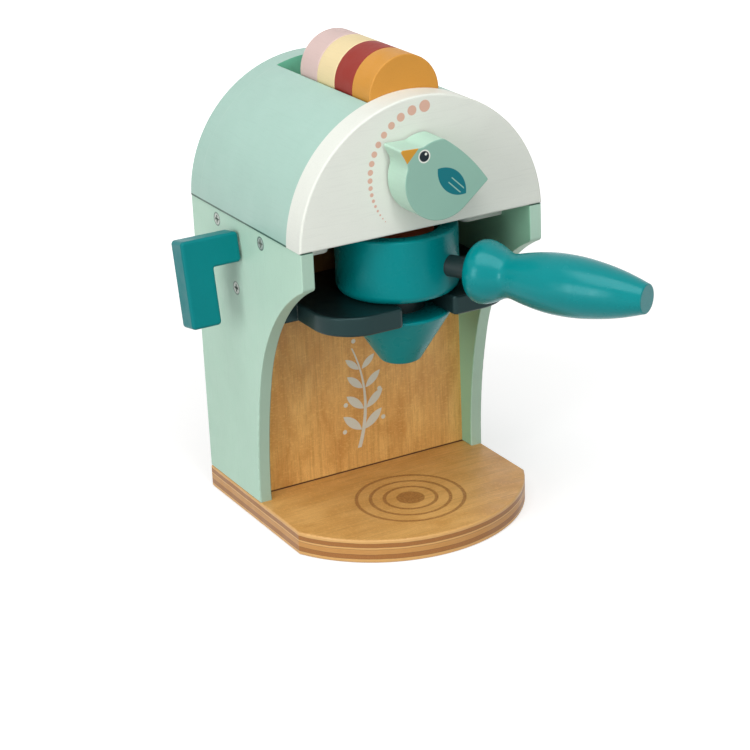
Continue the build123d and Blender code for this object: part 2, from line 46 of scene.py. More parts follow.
FRONT_FACE_Y = end_of("hopper_front_plate", "Y", min)
KNOB_FACE_Y = end_of("bird_knob", "Y", min)
KNOB_Z = joint_place("knob_turn")[2]
SLOT_HALF_WIDTH = end_of("hopper_right_shell", "X", min)
SEAT_Z = end_of("left_side_panel", "Z", max)    # joint between the side panels and the hopper
INNER_FACE_X = end_of("right_side_panel", "X", min)
BASE_TOP_Z = end_of("base_plate", "Z", max)
BACK_PANEL_FACE_Y = end_of("back_panel", "Y", min)

SIDE_SCREWS = ((-21.0, 190.0), (37.0, 190.0), (16.0, 152.0))   # Y and Z of the screws in a side panel
SCREW_HEAD_RADIUS = 3.9


# ---------------------------------------------------------------- colours
def linear(value):
    """One sRGB channel, 0 to 255, as linear light."""
    share = value / 255
    return share / 12.92 if share <= 0.04045 else ((share + 0.055) / 1.055) ** 2.4


def colour(red, green, blue):
    """An sRGB colour as the linear RGBA that a socket takes."""
    return (linear(red), linear(green), linear(blue), 1.0)


def toned(base, factor):
    """A colour made lighter or darker."""
    return tuple(min(channel * factor, 1.0) for channel in base[:3]) + (1.0,)


def mixed(first, second, share):
    """A colour part of the way from one to another."""
    return tuple(a + (b - a) * share for a, b in zip(first, second))


MINT = colour(190, 224, 204)
# the panels' mint made darker for the hopper, which gets more light: painted shade
SHADED_HOPPER_MINT = colour(165, 200, 187)
# mint made darker and greener for the panels' inner faces: painted shade and bounce light
SHADED_INNER_MINT = colour(150, 202, 172)
# mint made darker and greener for the pod slot's walls: painted shade
SHADED_SLOT_MINT = colour(120, 205, 172)
WHITE = colour(229, 232, 223)
TEAL = colour(0, 132, 135)
CHARCOAL = colour(28, 46, 47)
BIRD_FACE = colour(143, 184, 168)
BIRD_WING = colour(0, 110, 120)
BEAK_ORANGE = colour(206, 148, 52)
EYE_NAVY = colour(2, 20, 30)
DOT_SALMON = colour(219, 176, 157)
PRINT_SILVER = colour(222, 224, 212)
POD_PAINTS = {
    "mustard": colour(208, 146, 60),
    "maroon": colour(148, 48, 38),
    "cream": colour(234, 214, 166),
    "pink": colour(216, 190, 184),
    "terracotta": colour(220, 92, 58),
}

# Wood: the pale and the deep tone of each
BASE_VENEER = (colour(234, 182, 108), colour(206, 150, 78))
BACK_VENEER = (colour(252, 202, 120), colour(214, 152, 76))
BARE_VENEER = (colour(214, 180, 132), colour(188, 150, 100))
LIGHT_PLY = (colour(212, 158, 90), colour(230, 182, 112))
MID_PLY = (colour(190, 132, 66), colour(212, 156, 84))
DARK_PLY = (colour(138, 84, 30), colour(184, 122, 52))
GLUE_BROWN = colour(96, 52, 24)
# lighter tone along the base's edges: rubbed wear and a painted highlight
RUBBED_AND_HIGHLIT_EDGE = colour(226, 176, 112)
BURNT = colour(138, 82, 34)
# dark brown for the joints with the base, and for painted shade over the fork
SEAM_AND_SHADE_BROWN = colour(84, 44, 18)
# dark green of painted shade: the hopper seam, rings around the side screws, the screw heads' rims
SHADE_GREEN = colour(40, 84, 68)

ZINC = (colour(166, 174, 168), colour(214, 220, 212))
TARNISH = colour(118, 122, 116)
WOOL = (colour(116, 124, 114), colour(168, 174, 162))

# Tints of a paint's shine
PLAIN_SHINE = (1.0, 1.0, 1.0, 1.0)
TEAL_SHINE = (0.45, 0.8, 0.85, 1.0)
DARK_SHINE = (0.5, 0.8, 0.8, 1.0)


# ---------------------------------------------------------------- plane geometry
def direction(degrees):
    """Unit vector at an angle from the first coordinate."""
    return (math.cos(math.radians(degrees)), math.sin(math.radians(degrees)))


def shifted(place, along, reach):
    """A place moved along a unit vector."""
    return (place[0] + reach * along[0], place[1] + reach * along[1])


# ---------------------------------------------------------------- node helpers
PRINT_SOFT = 0.12              # half of the width over which a print's edge fades
MIX_FACTOR, MIX_FIRST, MIX_SECOND, MIX_RESULT = 0, 6, 7, 2      # a Mix node's sockets for colours


class Surface:
    """A material whose patterns are written in millimetres of the row frame."""

    def __init__(self, name):
        self.material = bpy.data.materials.new(name)
        self.material.use_nodes = True
        self.tree = self.material.node_tree
        self.shader = self.tree.nodes["Principled BSDF"]
        coordinates = self.tree.nodes.new("ShaderNodeTexCoord")
        self.mm = self.vector("SCALE", coordinates.outputs["Object"], scale=1 / MM)
        split = self.tree.nodes.new("ShaderNodeSeparateXYZ")
        self.tree.links.new(self.mm, split.inputs[0])
        self.x, self.y, self.z = split.outputs
        self.normal = None

    def feed(self, socket, value):
        """Link a socket, or set its value."""
        if isinstance(value, bpy.types.NodeSocket):
            self.tree.links.new(value, socket)
        else:
            socket.default_value = value

    def vector(self, operation, first, second=None, scale=None):
        """One step of vector arithmetic."""
        node = self.tree.nodes.new("ShaderNodeVectorMath")
        node.operation = operation
        self.feed(node.inputs[0], first)
        if second is not None:
            self.feed(node.inputs[1], second)
        if scale is not None:
            node.inputs["Scale"].default_value = scale
        return node.outputs["Value" if operation == "DOT_PRODUCT" else "Vector"]

    def math(self, operation, *values, clamp=False):
        """One step of arithmetic."""
        node = self.tree.nodes.new("ShaderNodeMath")
        node.operation = operation
        node.use_clamp = clamp
        for socket, value in zip(node.inputs, values):
            self.feed(socket, value)
        return node.outputs[0]

    def fold(self, operation, values):
        """Combine values one after another."""
        found, *others = values
        for value in others:
            found = self.math(operation, found, value)
        return found

    def smallest(self, values):
        return self.fold("MINIMUM", values)

    def largest(self, values):
        return self.fold("MAXIMUM", values)

    def product(self, *values):
        return self.fold("MULTIPLY", values)

    def size(self, value):
        """A value without its sign."""
        return self.math("ABSOLUTE", value)

    def flipped(self, share):
        """What a share leaves of 1."""
        return self.math("SUBTRACT", 1.0, share)

    def away(self, value, place):
        """Distance of a coordinate from a place, to either side."""
        return self.size(self.math("SUBTRACT", value, place))

    def along(self, first, second, heading):
        """Reach of two coordinates along a unit vector in their plane."""
        shares = [self.math("MULTIPLY", value, part) for value, part in zip((first, second), heading)]
        return self.math("ADD", *shares)

    def distance(self, first, second, centre):
        """Distance from a point, in the plane of two coordinates."""
        across = self.math("SUBTRACT", first, centre[0])
        along = self.math("SUBTRACT", second, centre[1])
        squares = [self.math("MULTIPLY", offset, offset) for offset in (across, along)]
        return self.math("SQRT", self.math("ADD", *squares))

    def disc(self, first, second, centre, radius):
        """Signed distance to a disc, negative inside."""
        return self.math("SUBTRACT", self.distance(first, second, centre), radius)

    def noise(self, stretch=(1.0, 1.0, 1.0), scale=1.0, detail=2.0, roughness=0.5, distortion=0.0):
        """Noise from 0 to 1; scale counts features in a millimetre."""
        node = self.tree.nodes.new("ShaderNodeTexNoise")
        self.feed(node.inputs["Vector"], self.vector("MULTIPLY", self.mm, stretch))
        node.inputs["Scale"].default_value = scale
        node.inputs["Detail"].default_value = detail
        node.inputs["Roughness"].default_value = roughness
        node.inputs["Distortion"].default_value = distortion
        return node.outputs[0]

    def ramp(self, value, low, high, bottom=0.0, top=1.0):
        """A smooth step from one value to another."""
        node = self.tree.nodes.new("ShaderNodeMapRange")
        node.interpolation_type = "SMOOTHSTEP"
        self.feed(node.inputs["Value"], value)
        for name, number in (("From Min", low), ("From Max", high), ("To Min", bottom), ("To Max", top)):
            self.feed(node.inputs[name], number)
        return node.outputs[0]

    def wander(self, scale, width):
        """A slow sway to either side of 0."""
        return self.product(self.math("SUBTRACT", self.noise(scale=scale, detail=2.0), 0.5), width)

    def haze(self, scale, low, high):
        """Roughness that drifts between two values."""
        return self.ramp(self.noise(scale=scale, detail=3.0), 0.3, 0.7, bottom=low, top=high)

    def within(self, distance, radius, soft=PRINT_SOFT):
        """1 inside a radius, with a soft edge."""
        return self.ramp(distance, radius + soft, radius - soft)

    def beyond(self, value, place, soft):
        """1 past a place, with a soft edge."""
        return self.ramp(value, place - soft, place + soft)

    def filled(self, outline):
        """1 where a signed distance is negative, with a soft edge."""
        return self.ramp(outline, PRINT_SOFT, -PRINT_SOFT)

    def skin(self, face_y, depth):
        """1 on a face that looks to the front, and down to a depth behind it."""
        fade = 0.3
        return self.ramp(self.y, face_y + depth, face_y + depth - fade)

    def edges(self, radius_mm=0.9):
        """1 along edges and sharp rounds, 0 on open faces."""
        bevel = self.tree.nodes.new("ShaderNodeBevel")
        bevel.samples = 4
        bevel.inputs["Radius"].default_value = radius_mm * MM
        geometry = self.tree.nodes.new("ShaderNodeNewGeometry")
        agreement = self.vector("DOT_PRODUCT", bevel.outputs[0], geometry.outputs["Normal"])
        return self.ramp(agreement, 0.995, 0.86)

    def facing(self, axis):
        """How far a face looks along X, Y or Z, from -1 to 1."""
        geometry = self.tree.nodes.new("ShaderNodeNewGeometry")
        split = self.tree.nodes.new("ShaderNodeSeparateXYZ")
        self.tree.links.new(geometry.outputs["Normal"], split.inputs[0])
        return split.outputs["XYZ".index(axis)]

    def square_to(self, axis, low, high):
        """1 on faces that look along an axis, either way, and 0 on those that look across it."""
        return self.ramp(self.size(self.facing(axis)), low, high)

    def blend(self, factor, first, second):
        """Mix two colours."""
        node = self.tree.nodes.new("ShaderNodeMix")
        node.data_type = "RGBA"
        self.feed(node.inputs[MIX_FACTOR], factor)
        self.feed(node.inputs[MIX_FIRST], first)
        self.feed(node.inputs[MIX_SECOND], second)
        return node.outputs[MIX_RESULT]

    def bump(self, height, depth_mm):
        """Raise the surface by a height from 0 to 1, on top of what is raised already."""
        node = self.tree.nodes.new("ShaderNodeBump")
        node.inputs["Distance"].default_value = depth_mm * MM
        self.feed(node.inputs["Height"], height)
        if self.normal is not None:
            self.feed(node.inputs["Normal"], self.normal)
        self.normal = node.outputs[0]

    def finish(self, base, roughness, **sockets):
        """Set the shader and return the material."""
        self.feed(self.shader.inputs["Base Color"], base)
        self.feed(self.shader.inputs["Roughness"], roughness)
        for name, value in sockets.items():
            self.shader.inputs[name.replace("_", " ")].default_value = value
        if self.normal is not None:
            self.feed(self.shader.inputs["Normal"], self.normal)
        return self.material


def stretch_along(axis, share):
    """Noise stretch for a grain that runs along X, Y or Z."""
    return tuple(share if name == axis else 1.0 for name in "XYZ")


# ---------------------------------------------------------------- paint on wood
PEEL_MM = 0.012                # depth of the paint's orange peel
PAINTED_GRAIN_MM = 0.03        # depth of the grain that shows through it


def paint_ground(surface, base, axis):
    """Sprayed colour with a slow drift, faint grain, light specks and small dents."""
    drift = surface.noise(scale=0.035, detail=2.0)
    found = surface.blend(drift, toned(base, 0.95), toned(base, 1.05))
    fibres = surface.noise(stretch_along(axis, 0.05), scale=1.1, detail=3.0, roughness=0.6)
    found = surface.blend(surface.ramp(fibres, 0.5, 0.72, top=0.35), found, toned(base, 0.9))
    specks = surface.noise(scale=1.6, detail=2.0)
    found = surface.blend(surface.ramp(specks, 0.62, 0.75, top=0.3), found, toned(base, 1.08))
    dents = surface.noise(scale=2.7, detail=1.0)
    found = surface.blend(surface.ramp(dents, 0.6, 0.74, top=0.45), found, toned(base, 0.82))
    return found, fibres


def worn_and_highlit(surface, found, base, strength):
    """Lighter paint along edges: a little handling wear, and a painted highlight on their rounds."""
    patches = surface.ramp(surface.noise(scale=0.25, detail=3.0), 0.35, 0.65, bottom=0.45)
    edge = surface.product(surface.edges(), patches, strength)
    # edges lightened: partly wear, partly painted highlight
    return surface.blend(edge, found, mixed(base, WHITE, 0.55))


def painted(name, base, axis, roughness, specular=0.35, shine_tint=PLAIN_SHINE, wear_and_highlight=0.35, relief=1.0,
            prints_and_shade=None):
    """Painted wood with its grain along an axis. The function given for prints and painted shade adds its
    colours over the ground.
    """
    surface = Surface(name)
    found, fibres = paint_ground(surface, base, axis)
    found = worn_and_highlit(surface, found, base, wear_and_highlight)
    if prints_and_shade is not None:
        found = prints_and_shade(surface, found)
    surface.bump(fibres, PAINTED_GRAIN_MM * relief)
    surface.bump(surface.noise(scale=0.9, detail=3.0), PEEL_MM * relief)
    haze = surface.haze(0.12, roughness - 0.05, roughness + 0.06)
    return surface.finish(found, haze, Specular_IOR_Level=specular, Specular_Tint=shine_tint)


def seat_seam_shade(surface, found):
    """Painted shade: a dark line in the crease where the hopper sits on the side panels."""
    seam_z = SEAT_Z + 0.35
    return surface.blend(surface.ramp(surface.away(surface.z, seam_z), 0.95, 0.5), found, SHADE_GREEN)


def hopper_painted_shade(surface, found):
    """Painted shade: darker, greener mint on the walls of the pod slot, and the shade line at the seam
    under the hopper.
    """
    slot = surface.ramp(surface.size(surface.x), SLOT_HALF_WIDTH + 0.9, SLOT_HALF_WIDTH + 0.4)
    side_walls = surface.square_to("X", 0.8, 0.95)
    rear_wall = surface.ramp(surface.facing("Y"), -0.8, -0.95)
    walls = surface.largest([side_walls, rear_wall])
    # painted shade on the slot's walls
    found = surface.blend(surface.product(slot, walls), found, SHADED_SLOT_MINT)
    return seat_seam_shade(surface, found)


def panel_painted_shade(surface, found):
    """Painted shade: the seam under the hopper, darker mint on inner faces and on faces that look to the
    front, a dark ring around each screw.
    """
    inner = surface.ramp(surface.size(surface.x), INNER_FACE_X + 0.4, INNER_FACE_X + 0.1)
    # painted shade on the inner faces
    found = surface.blend(inner, found, SHADED_INNER_MINT)
    # painted shade on faces that look to the front, strongest on the left panel
    front_shade = surface.ramp(surface.facing("Y"), -0.45, -0.8)
    left_panel = surface.ramp(surface.x, 1.0, -1.0, bottom=0.25)
    found = surface.blend(surface.product(front_shade, left_panel), found, toned(MINT, 0.74))
    # painted shade: a dark ring around each screw head, where the countersink's gap would be in shadow
    reach = surface.smallest([surface.distance(surface.y, surface.z, place) for place in SIDE_SCREWS])
    ring = surface.ramp(reach, SCREW_HEAD_RADIUS + 0.7, SCREW_HEAD_RADIUS + 0.1)
    outer = surface.square_to("X", 0.5, 0.8)
    found = surface.blend(surface.product(ring, 0.75, outer), found, SHADE_GREEN)
    return seat_seam_shade(surface, found)


def holder_painted_shade(surface, found):
    """Painted shade on the fork's upper and lower faces, up to their edges."""
    broad = surface.square_to("Z", 0.75, 0.98)
    open_face = surface.flipped(surface.edges())
    # painted shade on the faces that look up or down
    return surface.blend(surface.product(broad, open_face), found, toned(CHARCOAL, 0.4))


# ---------------------------------------------------------------- prints on the hopper and the knob
DOTS_CENTRE = (4.3, KNOB_Z - 0.8)       # X and Z of the arc's middle
DOTS_REACH = 38.6
FIRST_DOT_ANGLE = 92.0         # degrees from +X, seen from the front
FIRST_DOT_STEP = 12.6          # degrees to the second dot
DOT_STEP_SHARE = 0.93          # each later step, as a share of the one before
DOT_RADII = (3.5, 2.9, 2.55, 2.2, 2.0, 1.9, 1.85, 1.8, 1.75,
             1.6, 1.4, 1.2, 1.05, 0.9, 0.75, 0.6, 0.48, 0.35)

# The bird's places are from the knob's axis: to the right and up
WING_CENTRE = (6.6, -2.0)
WING_LEAN = -44.0
WING_HALF_LENGTH = 12.6
WING_HALF_WIDTH = 6.4
FEATHER_LEVELS = (-1.7, 1.5)   # the feather lines' distances from the wing's middle
FEATHER_HALF_WIDTH = 0.32
EYE_CENTRE = (-10.9, 15.6)
EYE_RADIUS = 3.9
PUPIL_RADIUS = 3.1
GLINT_CENTRE = (-9.8, 16.8)
GLINT_RADIUS = 0.8
BEAK_ANGLE = 135.5             # square to the line where the orange of the beak starts
BEAK_START = 24.8              # that line's distance from the axis


def dots_print(surface, found):
    """An arc of salmon dots around the knob, large at the top and fading to points."""
    angle = FIRST_DOT_ANGLE
    step = FIRST_DOT_STEP
    outlines = []
    for radius in DOT_RADII:
        place = shifted(DOTS_CENTRE, direction(angle), DOTS_REACH)
        outlines.append(surface.disc(surface.x, surface.z, place, radius))
        angle += step
        step *= DOT_STEP_SHARE
    mark = surface.product(surface.filled(surface.smallest(outlines)), surface.skin(FRONT_FACE_Y, 0.5))
    mottle = surface.noise(scale=2.2, detail=2.0)
    ink = surface.blend(mottle, toned(DOT_SALMON, 0.93), toned(DOT_SALMON, 1.05))
    return surface.blend(mark, found, ink)


def leaf(surface, up, place, lean, half_length, half_width):
    """Signed distance to a pointed leaf, negative inside.

    lean is in degrees from +X, seen from the front.
    """
    radius = (half_length ** 2 + half_width ** 2) / (2 * half_width)
    offset = radius - half_width
    sideways = direction(lean + 90.0)
    lobes = [surface.distance(surface.x, up, shifted(place, sideways, side * offset)) for side in (-1, 1)]
    return surface.math("SUBTRACT", surface.largest(lobes), radius)


def wing_print(surface, found, up, on_face):
    """Leaf-shaped wing with two feather lines towards its tip."""
    blade = leaf(surface, up, WING_CENTRE, WING_LEAN, WING_HALF_LENGTH, WING_HALF_WIDTH)
    found = surface.blend(surface.product(surface.filled(blade), on_face), found, BIRD_WING)
    from_x = surface.math("SUBTRACT", surface.x, WING_CENTRE[0])
    from_z = surface.math("SUBTRACT", up, WING_CENTRE[1])
    along = surface.along(from_x, from_z, direction(WING_LEAN))
    across = surface.along(from_x, from_z, direction(WING_LEAN + 90.0))
    for level in FEATHER_LEVELS:
        line = surface.within(surface.away(across, level), FEATHER_HALF_WIDTH)
        inside = surface.ramp(blade, -1.3, -1.5)
        towards_tip = surface.ramp(along, -2.0, -1.0)
        found = surface.blend(surface.product(line, inside, towards_tip, on_face), found, BIRD_FACE)
    return found


def eye_print(surface, found, up, on_face):
    """Dark eye with a pale rim and a glint."""
    for place, radius, tint in ((EYE_CENTRE, EYE_RADIUS, WHITE), (EYE_CENTRE, PUPIL_RADIUS, EYE_NAVY),
                                (GLINT_CENTRE, GLINT_RADIUS, WHITE)):
        disc = surface.within(surface.distance(surface.x, up, place), radius)
        found = surface.blend(surface.product(disc, on_face), found, tint)
    return found


def bird_print(surface, found):
    """Darker face with a leaf-shaped wing, a round eye and an orange beak."""
    up = surface.math("SUBTRACT", surface.z, KNOB_Z)
    on_face = surface.skin(KNOB_FACE_Y, 0.55)
    drift = surface.noise(scale=0.06, detail=2.0)
    face = surface.blend(drift, toned(BIRD_FACE, 0.95), toned(BIRD_FACE, 1.04))
    found = surface.blend(on_face, found, face)
    found = wing_print(surface, found, up, on_face)
    found = eye_print(surface, found, up, on_face)
    beak = surface.beyond(surface.along(surface.x, up, direction(BEAK_ANGLE)), BEAK_START, 0.15)
    return surface.blend(surface.product(beak, on_face), found, BEAK_ORANGE)


# ---------------------------------------------------------------- plywood
# Plies of the base under its top one: how deep each starts, and its tone
PLIES = ((2.3, "dark"), (4.9, "light"), (6.2, "mid"), (9.5, "dark"), (12.4, "light"))
RING_CENTRE = (0.0, -43.9)
RING_RADII = (33.5, 24.8, 16.2)
RING_HALF_WIDTH = 1.1
RING_SPOT_RADIUS = 8.8
RING_SOFT = 0.4


def veneer(surface, axis, pale, deep):
    """Lacquered veneer: soft mottled figure, bands, fine fibres, pores, specks and cross flecks."""
    figure = surface.noise(stretch_along(axis, 0.5), scale=0.05, detail=4.0, roughness=0.55, distortion=0.6)
    found = surface.blend(surface.ramp(figure, 0.3, 0.7, bottom=0.1, top=0.9), deep, pale)
    bands = surface.noise(stretch_along(axis, 0.02), scale=0.55, detail=4.0, roughness=0.6, distortion=0.15)
    found = surface.blend(surface.ramp(bands, 0.45, 0.7, top=0.4), found, toned(deep, 0.8))
    fibres = surface.noise(stretch_along(axis, 0.04), scale=1.9, detail=4.0, roughness=0.65)
    found = surface.blend(surface.ramp(fibres, 0.46, 0.7, top=0.5), found, toned(deep, 0.8))
    pores = surface.noise(stretch_along(axis, 0.2), scale=3.2, detail=2.0)
    pits = surface.ramp(pores, 0.64, 0.74)
    found = surface.blend(surface.product(pits, 0.35), found, toned(deep, 0.6))
    specks = surface.noise(scale=2.4, detail=2.0)
    found = surface.blend(surface.ramp(specks, 0.52, 0.7, top=0.4), found, toned(deep, 0.7))
    flecks = surface.noise(stretch_along(axis, 2.2), scale=0.5, detail=2.0)
    found = surface.blend(surface.ramp(flecks, 0.52, 0.7, top=0.3), found, toned(pale, 1.12))
    return found, fibres, pits


def veneer_relief(surface, fibres, pits, grain_mm=0.03):
    """Raised fibres and sunk pores."""
    surface.bump(fibres, grain_mm)
    surface.bump(surface.flipped(pits), 0.03)


def ply_edge(surface, found):
    """Layers of the base's edge, from its top face down."""
    wander = surface.wander(0.05, 0.8)
    depth = surface.math("ADD", surface.math("SUBTRACT", BASE_TOP_Z, surface.z), wander)
    speckle = surface.noise((1.0, 1.0, 0.6), scale=2.6, detail=2.0)
    streaks = surface.noise((0.12, 0.12, 1.0), scale=2.2, detail=3.0)
    tones = {
        "light": surface.blend(streaks, *LIGHT_PLY),
        "mid": surface.blend(streaks, *MID_PLY),
        "dark": surface.blend(speckle, *DARK_PLY),
    }
    layers = tones["light"]
    for start, tone in PLIES:
        layers = surface.blend(surface.beyond(depth, start, 0.12), layers, tones[tone])
    glue = surface.smallest([surface.away(depth, start) for start, _ in PLIES])
    seam = surface.within(glue, 0.16, 0.1)
    layers = surface.blend(surface.product(seam, 0.5), layers, GLUE_BROWN)
    side = surface.square_to("Z", 0.8, 0.6)
    return surface.blend(side, found, layers)


def burnt_rings(surface, found):
    """Concentric rings burnt into the base's top."""
    even_reach = surface.distance(surface.x, surface.y, RING_CENTRE)
    reach = surface.math("ADD", even_reach, surface.wander(0.3, 0.5))
    marks = [surface.within(surface.away(reach, radius), RING_HALF_WIDTH, RING_SOFT)
             for radius in RING_RADII]
    marks.append(surface.within(reach, RING_SPOT_RADIUS, RING_SOFT))
    patchy = surface.ramp(surface.noise(scale=0.8, detail=3.0), 0.3, 0.7, bottom=0.5, top=0.85)
    on_top = surface.ramp(surface.z, BASE_TOP_Z - 0.4, BASE_TOP_Z - 0.1)
    mark = surface.product(surface.largest(marks), patchy, on_top)
    surface.bump(surface.flipped(mark), 0.05)
    return surface.blend(mark, found, BURNT)


def base_material():
    """Plywood of the base, with its rings, its layered edge and the joint with the back panel."""
    surface = Surface("base_plywood")
    found, fibres, pits = veneer(surface, "X", *BASE_VENEER)
    found = burnt_rings(surface, found)
    joint = surface.ramp(surface.away(surface.y, BACK_PANEL_FACE_Y), 0.8, 0.3)
    found = surface.blend(joint, found, SEAM_AND_SHADE_BROWN)
    found = ply_edge(surface, found)
    # lighter edges: rubbed wear and a painted highlight
    found = surface.blend(surface.product(surface.edges(0.7), 0.35), found, RUBBED_AND_HIGHLIT_EDGE)
    veneer_relief(surface, fibres, pits)
    return surface.finish(found, surface.haze(0.1, 0.36, 0.5), Coat_Weight=0.12, Coat_Roughness=0.3)


# The sprig's places are X and Z on the back panel
STEM_CENTRE = (-88.0, 60.0)    # the stem is an arc around this place
STEM_RADIUS = 90.0
STEM_FOOT_Z = 29.0
STEM_TIP_Z = 97.0
STEM_FOOT_HALF_WIDTH = 1.3
STEM_TIP_HALF_WIDTH = 0.5
LEAF_PAIRS = ((40.0, 8.6), (54.0, 8.0), (68.0, 7.2), (81.0, 6.2))   # height on the stem and half length
LEAF_LEAN = 48.0               # degrees from upright
LEAF_STALK = 1.4
LEAF_WIDTH_SHARE = 0.34        # half width as a share of half length
BERRIES = ((-13.5, 42.0), (14.5, 46.0), (-12.0, 60.0), (12.5, 66.0), (-4.5, 101.5))
BERRY_RADIUS = 1.5


def sprig_stem(surface):
    """Signed distance to the sprig's stem, an arc that narrows upwards."""
    rise = surface.math("SUBTRACT", surface.z, STEM_FOOT_Z)
    share = surface.math("DIVIDE", rise, STEM_TIP_Z - STEM_FOOT_Z, clamp=True)
    half = surface.ramp(share, 0.0, 1.0, bottom=STEM_FOOT_HALF_WIDTH, top=STEM_TIP_HALF_WIDTH)
    reach = surface.distance(surface.x, surface.z, STEM_CENTRE)
    side = surface.math("SUBTRACT", surface.away(reach, STEM_RADIUS), half)
    under_foot = surface.math("SUBTRACT", STEM_FOOT_Z, surface.z)
    over_tip = surface.math("SUBTRACT", surface.z, STEM_TIP_Z)
    return surface.largest([side, under_foot, over_tip])


def sprig_print(surface, found):
    """A sprig in silver ink: a bent stem with paired leaves and a few berries."""
    outlines = [sprig_stem(surface)]
    for height, half_length in LEAF_PAIRS:
        foot = (STEM_CENTRE[0] + math.sqrt(STEM_RADIUS ** 2 - (height - STEM_CENTRE[1]) ** 2), height)
        for side in (-1, 1):
            lean = 90.0 - side * LEAF_LEAN
            middle = shifted(foot, direction(lean), half_length + LEAF_STALK)
            half_width = half_length * LEAF_WIDTH_SHARE
            outlines.append(leaf(surface, surface.z, middle, lean, half_length, half_width))
    outlines += [surface.disc(surface.x, surface.z, place, BERRY_RADIUS) for place in BERRIES]
    thin = surface.ramp(surface.noise(scale=2.4, detail=2.0), 0.3, 0.62, bottom=0.8)
    on_face = surface.skin(BACK_PANEL_FACE_Y, 0.4)
    ink = surface.product(surface.filled(surface.smallest(outlines)), thin, on_face)
    return surface.blend(ink, found, PRINT_SILVER)


def back_material():
    """Plywood behind the cup bay: painted shade over the fork, with its print and the joint with the base.
    """
    shade_start_z, shade_end_z = 112.0, 156.0
    surface = Surface("back_plywood")
    found, fibres, pits = veneer(surface, "Z", *BACK_VENEER)
    # painted shade over the fork, on the front face only
    shade = surface.product(surface.ramp(surface.z, shade_start_z, shade_end_z, top=0.82),
                            surface.skin(BACK_PANEL_FACE_Y, 0.4))
    found = surface.blend(shade, found, SEAM_AND_SHADE_BROWN)
    found = sprig_print(surface, found)
    found = surface.blend(surface.ramp(surface.z, BASE_TOP_Z + 0.9, BASE_TOP_Z + 0.4), found, SEAM_AND_SHADE_BROWN)
    veneer_relief(surface, fibres, pits)
    return surface.finish(found, surface.haze(0.1, 0.4, 0.52), Coat_Weight=0.08, Coat_Roughness=0.35)


def bare_wood():
    """Sanded wood of the dowels and of the board under the pods."""
    surface = Surface("bare_wood")
    found, fibres, pits = veneer(surface, "Y", *BARE_VENEER)
    veneer_relief(surface, fibres, pits, grain_mm=0.04)
    return surface.finish(found, surface.ramp(pits, 0.0, 1.0, bottom=0.6, top=0.8))


# ---------------------------------------------------------------- steel and felt
def steel():
    """Zinc-plated screws and washers, scratched and dull, with painted shade along their edges."""
    surface = Surface("zinc_steel")
    scratches = surface.noise(scale=3.0, detail=4.0, roughness=0.7)
    found = surface.blend(scratches, *ZINC)
    tarnish = surface.noise(scale=0.7, detail=3.0)
    found = surface.blend(surface.ramp(tarnish, 0.5, 0.75, top=0.4), found, TARNISH)
    # painted shade along the edges, where the heads sink into the panel
    found = surface.blend(surface.product(surface.edges(), 0.8), found, SHADE_GREEN)
    surface.bump(scratches, 0.02)
    return surface.finish(found, surface.ramp(scratches, 0.2, 0.8, bottom=0.4, top=0.56), Metallic=0.45)


def felt():
    """Pressed felt of the spacers."""
    surface = Surface("felt")
    wool = surface.noise(scale=2.6, detail=5.0, roughness=0.75, distortion=1.2)
    found = surface.blend(wool, *WOOL)
    surface.bump(wool, 0.25)
    return surface.finish(found, surface.ramp(wool, 0.2, 0.8, bottom=0.85, top=1.0), Sheen_Weight=0.4)


# ---------------------------------------------------------------- dressing the model
def dress(material, *names):
    """Give a material to CAD nodes."""
    for name in names:
        mesh = nodes[name].data
        mesh.materials.clear()
        mesh.materials.append(material)


def dress_body():
    """Side panels, hopper, deck and fork."""
    dress(painted("mint_paint", MINT, "Z", roughness=0.45, prints_and_shade=panel_painted_shade),
          "left_side_panel", "right_side_panel")
    dress(painted("mint_hopper_paint", SHADED_HOPPER_MINT, "Y", roughness=0.4, specular=0.6, prints_and_shade=hopper_painted_shade),
          "hopper_rear_plate", "hopper_left_shell", "hopper_right_shell")
    dress(painted("white_front_paint", WHITE, "X", roughness=0.45, specular=0.25, relief=0.7,
                  prints_and_shade=dots_print), "hopper_front_plate")
    dress(painted("white_deck_paint", WHITE, "X", roughness=0.5), "deck_board")
    dress(painted("charcoal_paint", CHARCOAL, "X", roughness=0.34, shine_tint=DARK_SHINE, wear_and_highlight=0.6,
                  prints_and_shade=holder_painted_shade), "holder_plate")


def dress_moving_parts():
    """Portafilter, lever, knob and pods."""
    dress(painted("charcoal_dowel_paint", CHARCOAL, "Y", roughness=0.4, specular=0.3, wear_and_highlight=0.15),
          "portafilter_handle_dowel", "portafilter_neck")
    dress(painted("teal_lever_paint", toned(TEAL, 0.8), "Z", roughness=0.4, specular=0.25,
                  shine_tint=TEAL_SHINE, wear_and_highlight=0.12), "steam_lever")
    dress(painted("teal_cup_paint", TEAL, "Z", roughness=0.3, specular=0.22, shine_tint=TEAL_SHINE,
                  wear_and_highlight=0.08), "portafilter_cup", "portafilter_funnel")
    dress(painted("teal_handle_paint", TEAL, "Y", roughness=0.22, specular=0.36, shine_tint=TEAL_SHINE,
                  wear_and_highlight=0.08), "portafilter_handle")
    dress(painted("bird_paint", toned(MINT, 0.9), "Y", roughness=0.45, specular=0.25, prints_and_shade=bird_print),
          "bird_knob")
    for name, base in POD_PAINTS.items():
        axis = "Z" if name == "terracotta" else "Y"
        dress(painted(name + "_paint", base, axis, roughness=0.5, specular=0.25, wear_and_highlight=0.2, relief=1.6),
              "pod_" + name)


